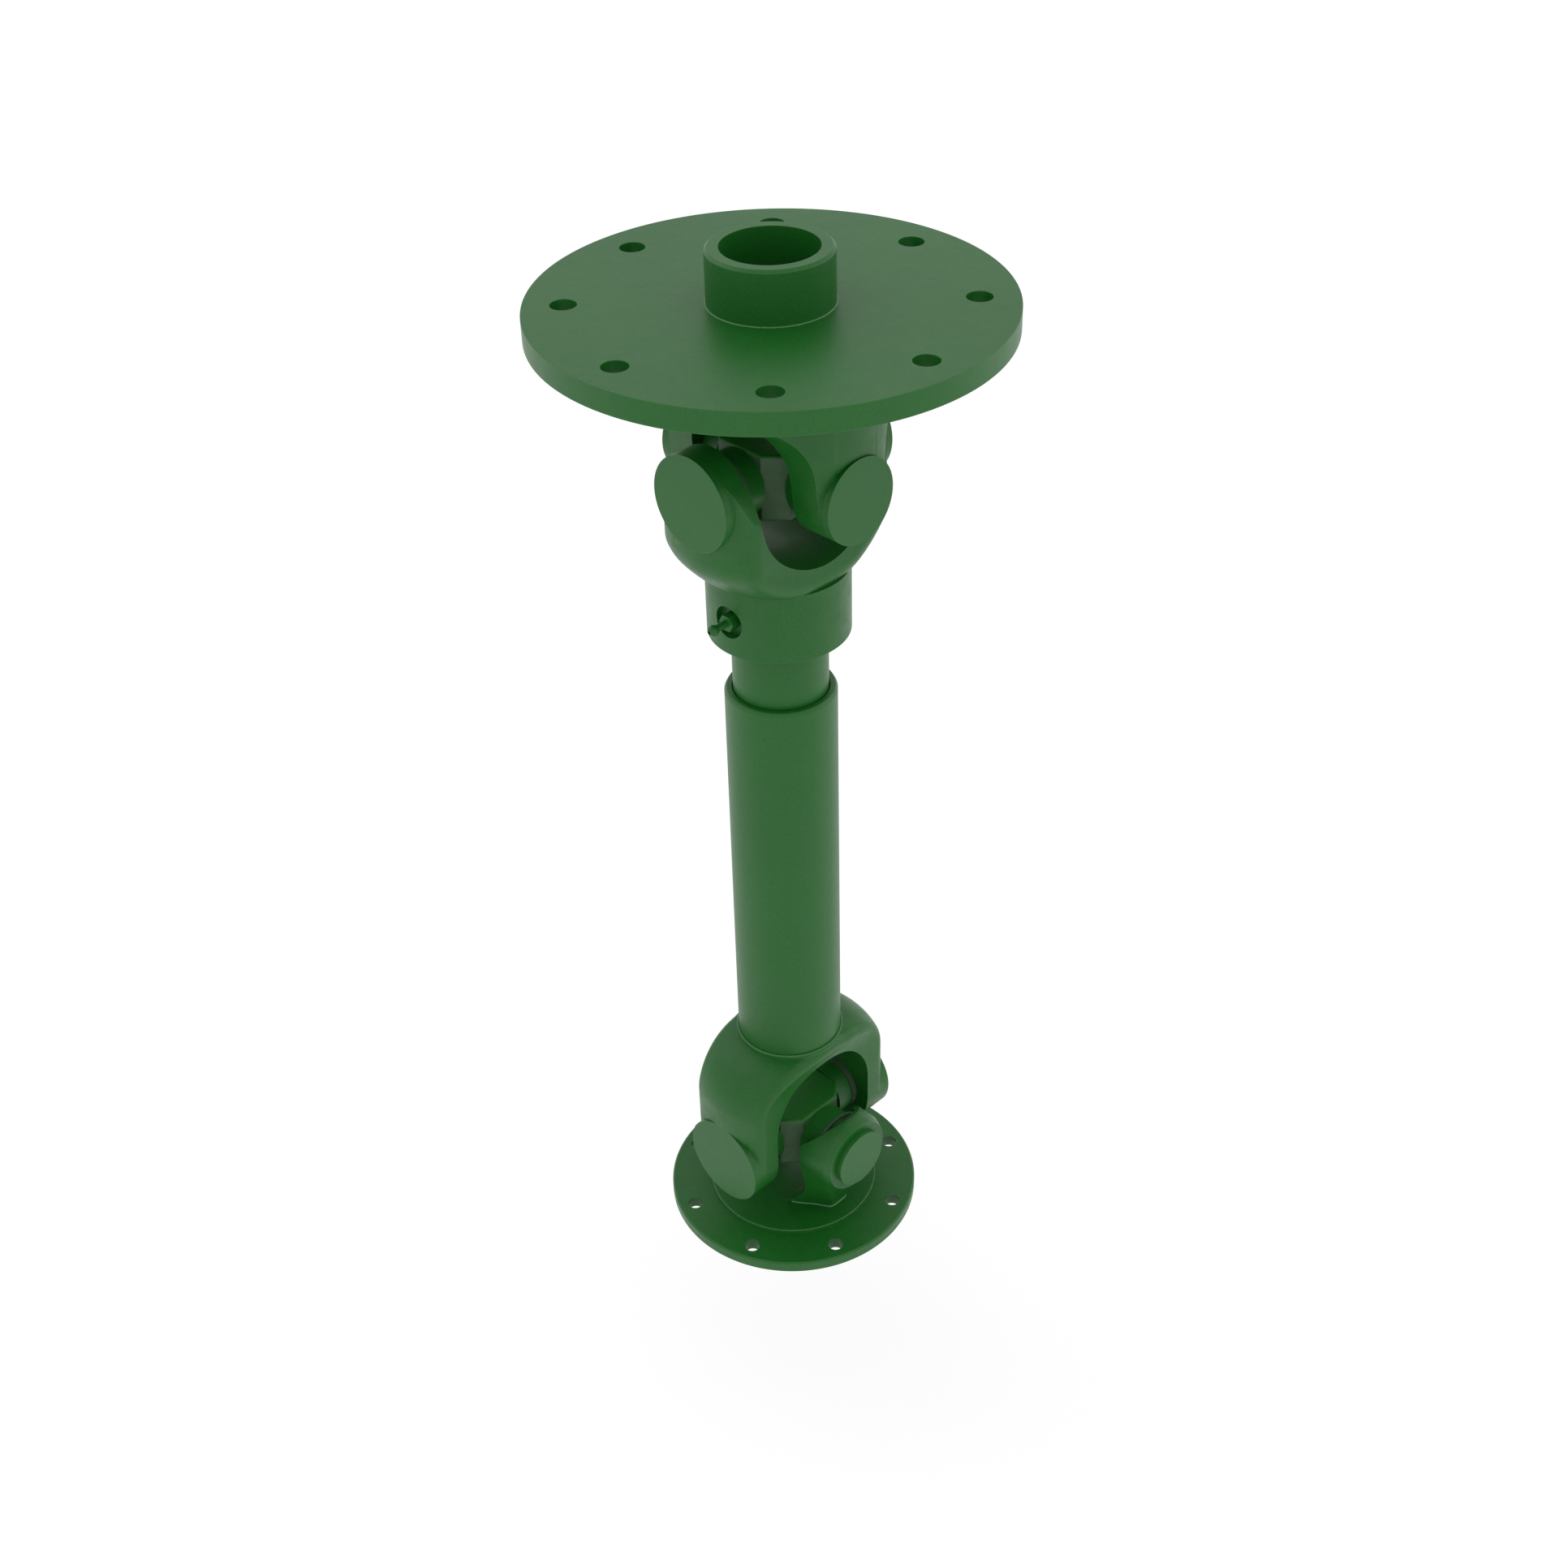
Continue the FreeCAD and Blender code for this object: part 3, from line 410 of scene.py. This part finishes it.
# Geometry node trees for what repeats round the shaft or follows an edge
class Tree:
    """One geometry node tree with named inputs, and short ways to add and link its nodes."""

    def __init__(self, name, inputs):
        self.tree = bpy.data.node_groups.new(name, "GeometryNodeTree")
        self.tree.interface.new_socket("Geometry", in_out="OUTPUT", socket_type="NodeSocketGeometry")
        for label, kind in inputs:
            self.tree.interface.new_socket(label, in_out="INPUT", socket_type="NodeSocket" + kind)
        self.given = self.add("NodeGroupInput").outputs

    def add(self, kind, **settings):
        node = self.tree.nodes.new(kind)
        for key, value in settings.items():
            setattr(node, key, value)
        return node

    def feed(self, socket, value):
        if isinstance(value, bpy.types.NodeSocket):
            self.tree.links.new(value, socket)
        else:
            socket.default_value = value

    def geo(self, kind, inputs, **settings):
        node = self.add("GeometryNode" + kind, **settings)
        for key, value in inputs.items():
            self.feed(node.inputs[key], value)
        return node.outputs[0]

    def math(self, operation, first, second=0.0):
        node = self.add("ShaderNodeMath", operation=operation)
        self.feed(node.inputs[0], first)
        self.feed(node.inputs[1], second)
        return node.outputs[0]

    def vector(self, x, y, z):
        node = self.add("ShaderNodeCombineXYZ")
        for socket, value in zip(node.inputs, (x, y, z)):
            self.feed(socket, value)
        return node.outputs[0]

    def finish(self, geometry):
        solid = self.geo("RealizeInstances", {"Geometry": geometry})
        painted = self.geo("SetMaterial", {"Geometry": solid, "Material": self.given["Material"]})
        self.feed(self.add("NodeGroupOutput").inputs["Geometry"], painted)
        return self.tree


def bead_tree():
    """A ring of weld metal or paint laid in overlapping ripples."""
    t = Tree("weld_bead_ring", [("Ring Radius", "Float"), ("Height", "Float"), ("Bead Radius", "Float"),
                                ("Ripples", "Int"), ("Ripple Depth", "Float"), ("Material", "Material")])
    steps = t.math("MULTIPLY", t.given["Ripples"], 4.0)
    path = t.geo("CurvePrimitiveCircle", {"Resolution": steps, "Radius": t.given["Ring Radius"]})
    section = t.geo("CurvePrimitiveCircle", {"Resolution": BEAD_SIDES, "Radius": t.given["Bead Radius"]})
    bead = t.geo("CurveToMesh", {"Curve": path, "Profile Curve": section})
    bead = t.geo("SetPosition", {"Geometry": bead, "Offset": t.vector(0.0, 0.0, t.given["Height"])})
    place = t.add("ShaderNodeSeparateXYZ")
    t.feed(place.inputs[0], t.add("GeometryNodeInputPosition").outputs[0])
    angle = t.math("ARCTAN2", place.outputs["Y"], place.outputs["X"])
    wave = t.math("SINE", t.math("MULTIPLY", angle, t.given["Ripples"]))
    push = t.add("ShaderNodeVectorMath", operation="SCALE")
    t.feed(push.inputs[0], t.add("GeometryNodeInputNormal").outputs[0])
    t.feed(push.inputs["Scale"], t.math("MULTIPLY", wave, t.given["Ripple Depth"]))
    bead = t.geo("SetPosition", {"Geometry": bead, "Offset": push.outputs[0]})
    return t.finish(t.geo("SetShadeSmooth", {"Geometry": bead}))


def fillet_tree():
    """A small round fillet that follows the edge where a casting's foot meets its step."""
    t = Tree("foot_fillet", [("Path", "Geometry"), ("Fillet Radius", "Float"), ("Steps", "Int"),
                             ("Material", "Material")])
    path = t.geo("MeshToCurve", {"Mesh": t.given["Path"]})
    path = t.geo("CurveSplineType", {"Curve": path}, spline_type="CATMULL_ROM")
    path = t.geo("ResampleCurve", {"Curve": path, "Count": t.given["Steps"]})
    section = t.geo("CurvePrimitiveCircle", {"Resolution": BEAD_SIDES, "Radius": t.given["Fillet Radius"]})
    fillet = t.geo("CurveToMesh", {"Curve": path, "Profile Curve": section, "Fill Caps": True})
    return t.finish(t.geo("SetShadeSmooth", {"Geometry": fillet}))


def roller_tree():
    """A full ring of needle rollers lying round one arm of a cross."""
    t = Tree("needle_roller_ring", [("Count", "Int"), ("Pitch Radius", "Float"), ("Roller Radius", "Float"),
                                    ("Length", "Float"), ("Reach", "Float"), ("Turn", "Float"),
                                    ("Height", "Float"), ("Material", "Material")])
    ring = t.geo("MeshCircle", {"Vertices": t.given["Count"], "Radius": t.given["Pitch Radius"]})
    half_step = t.math("DIVIDE", pi, t.given["Count"])
    ring = t.geo("Transform", {"Geometry": ring, "Rotation": t.vector(0.0, 0.0, half_step)})
    roller = t.geo("MeshCylinder", {"Vertices": ROLLER_SIDES, "Radius": t.given["Roller Radius"],
                                    "Depth": t.given["Length"]})
    rollers = t.geo("InstanceOnPoints", {"Points": ring, "Instance": roller})
    rollers = t.geo("Transform", {"Geometry": rollers, "Rotation": (0.0, QUARTER_TURN, 0.0),
                                  "Translation": t.vector(t.given["Reach"], 0.0, 0.0)})
    rollers = t.geo("Transform", {"Geometry": rollers, "Rotation": t.vector(0.0, 0.0, t.given["Turn"]),
                                  "Translation": t.vector(0.0, 0.0, t.given["Height"])})
    return t.finish(rollers)


def line_mesh(name, lines):
    """A mesh of open lines, each through its own points, or an empty one."""
    points = []
    edges = []
    for line in lines:
        first = len(points)
        points += line
        edges += [(k, k + 1) for k in range(first, first + len(line) - 1)]
    mesh = bpy.data.meshes.new(name)
    mesh.from_pydata(points, edges, [])
    return mesh


def grown(name, tree, values, lines=()):
    """Runs a tree on a seed of lines, or on nothing, and keeps the result as a plain mesh."""
    seed = linked(name + "_seed", line_mesh(name + "_seed", lines))
    growth = seed.modifiers.new("tree", "NODES")
    growth.node_group = tree
    for item in tree.interface.items_tree:
        if item.in_out == "INPUT" and item.name in values:
            growth[item.identifier] = values[item.name]
    bpy.context.view_layer.update()
    mesh = bpy.data.meshes.new_from_object(seed.evaluated_get(bpy.context.evaluated_depsgraph_get()))
    mesh.name = name
    bpy.data.objects.remove(seed)
    return linked(name, mesh)


def grown_for(node, name, tree, values):
    """A grown piece that stands in a solid's place."""
    piece = grown(name, tree, values)
    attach(piece, BODY_OF[node])
    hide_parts(node)


def grown_on(node, name, tree, values, lines=()):
    """A grown piece of green paint that lies on a solid."""
    piece = grown(name, tree, values, lines)
    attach(piece, BODY_OF[node])


def ear_foot_lines():
    """The edge of each ear's foot on the step, from one inner end round to the other."""
    lines = []
    for side in (1, -1):
        near = [(side * x, -y, STEP_TOP) for x, y in EAR_FOOT]
        far = [(side * x, y, STEP_TOP) for x, y in reversed(EAR_FOOT)]
        lines.append(near + far)
    return lines


def bead_values(bead, corner_r, corner_height, finish):
    """What the bead tree is given for a bead that fills a round corner."""
    return {"Ring Radius": corner_r + bead["out"], "Height": corner_height + bead["up"],
            "Bead Radius": bead["radius"], "Ripples": bead["ripples"], "Ripple Depth": bead["depth"],
            "Material": finish}


def weld_and_paint_beads():
    """The welds at the plate and the tube's foot, and the paint at the hub's foot and on the step; the tube
    weld and the two paint beads are lightened as a painted highlight line.
    """
    beads = bead_tree()
    grown_for("plate_weld", "plate_weld_bead", beads,
              bead_values(PLATE_WELD, YOKE_TOP_R, PLATE_UNDERSIDE, FORGING_ENAMEL))
    grown_for("tube_weld", "tube_weld_bead", beads,
              bead_values(TUBE_WELD, TUBE_R, TUBE_FOOT, WELD_ENAMEL))
    grown_on("hub_sleeve", "hub_paint_bead", beads,
             bead_values(HUB_BEAD, HUB_R, PLATE_TOP, HIGHLIT_BEAD_ENAMEL))
    grown_on("lower_flange_yoke", "step_paint_bead", beads,
             bead_values(STEP_BEAD, STEP_R, STEP_TOP, HIGHLIT_BEAD_ENAMEL))


def needle_rollers():
    """Sixteen round needles in each cup, where the frame has a plain set."""
    rings = roller_tree()
    for prefix, height in (("upper", UPPER_JOINT), ("lower", LOWER_JOINT)):
        for quarter, arm in enumerate(("xp", "yp", "xn", "yn")):
            node = prefix + "_rollers_" + arm
            low, high = (Vector(corner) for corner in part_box(node))
            along = "xyz".index(arm[0])
            grown_for(node, node + "_ring", rings,
                      {"Count": ROLLERS, "Pitch Radius": ROLLER_PITCH_R, "Roller Radius": ROLLER_R,
                       "Length": high[along] - low[along], "Reach": abs(high[along] + low[along]) / 2,
                       "Turn": QUARTER_TURN * quarter, "Height": height, "Material": GROUND})


def dress_the_frame():
    for node, solid in frame["nodes"].items():
        steel_cup = "_cup_" in node and SLOT_OF[node] == "bearing_steel"
        dress(solid, MISTED if steel_cup else FINISH[SLOT_OF[node]])


# Floor, light, camera
def studio():
    bpy.ops.mesh.primitive_plane_add(size=FLOOR_SIZE, location=(0, 0, FLOOR))
    floor = bpy.context.object
    floor.name = "studio_floor"
    dress(floor, pale_floor("pale_floor"))
    world = bpy.data.worlds.new("studio_sky")
    world.use_nodes = True
    sky = world.node_tree.nodes["Background"]
    sky.inputs["Color"].default_value = (1.0, 1.0, 1.0, 1.0)
    sky.inputs["Strength"].default_value = SKY_GLOW
    bpy.context.scene.world = world
    bpy.context.scene.view_settings.view_transform = "Standard"


def soft_light(name, at, look, size, power):
    data = bpy.data.lights.new(name, "AREA")
    data.shape = "DISK"
    data.size = size
    data.energy = power
    lamp = linked(name, data)
    lamp.location = at
    lamp.rotation_euler = (Vector(look) - Vector(at)).to_track_quat("-Z", "Y").to_euler()


def photo_camera():
    """A camera where the photograph was taken from, with the photograph's frame."""
    turn = radians(CAMERA_TURN)
    down = radians(CAMERA_DOWN)
    roll = radians(CAMERA_ROLL)
    back = Vector((sin(turn), -cos(turn), 0.0))
    forward = -back * cos(down) - Vector((0, 0, 1)) * sin(down)
    level = Vector((cos(turn), sin(turn), 0.0))
    upward = level.cross(forward)
    right = cos(roll) * level + sin(roll) * upward
    up = -sin(roll) * level + cos(roll) * upward
    data = bpy.data.cameras.new("photo_camera")
    data.sensor_width = SENSOR_WIDTH
    data.lens = SENSOR_WIDTH * FOCAL_LENGTH / PHOTO_SIDE
    data.shift_x = (PHOTO_SIDE / 2 - PHOTO_CENTRE) / PHOTO_SIDE
    data.shift_y = -data.shift_x
    data.clip_start = CLIP_START
    camera = linked("photo_camera", data)
    place = Matrix((right, up, -forward)).transposed().to_4x4()
    place.translation = back * CAMERA_AWAY + Vector((0, 0, CAMERA_HEIGHT))
    camera.matrix_world = place
    bpy.context.scene.camera = camera


dress_the_frame()
softened("hub_sleeve", TURNED_ENAMEL, HUB_EDGE_ROUND)
softened("drive_plate", TURNED_ENAMEL)
softened("upper_flange_yoke", FORGING_ENAMEL)
softened("slip_yoke", FORGING_ENAMEL)
softened("lower_tube_yoke", FORGING_ENAMEL)
softened("outer_tube", TURNED_ENAMEL)
softened("lower_flange_yoke", FORGING_ENAMEL)
softened("upper_cross", FORGED)
softened("lower_cross", FORGED)
seal_lips("upper_cross", UPPER_JOINT)
seal_lips("lower_cross", LOWER_JOINT)
weld_and_paint_beads()
# The ear foot fillets carry the bead enamel, lightened as a painted highlight line
grown_on("lower_flange_yoke", "ear_foot_fillets", fillet_tree(),
         {"Fillet Radius": FOOT_FILLET_R, "Steps": FILLET_STEPS, "Material": HIGHLIT_BEAD_ENAMEL}, ear_foot_lines())
needle_rollers()

studio()
for light in LIGHTS:
    soft_light(**light)
photo_camera()
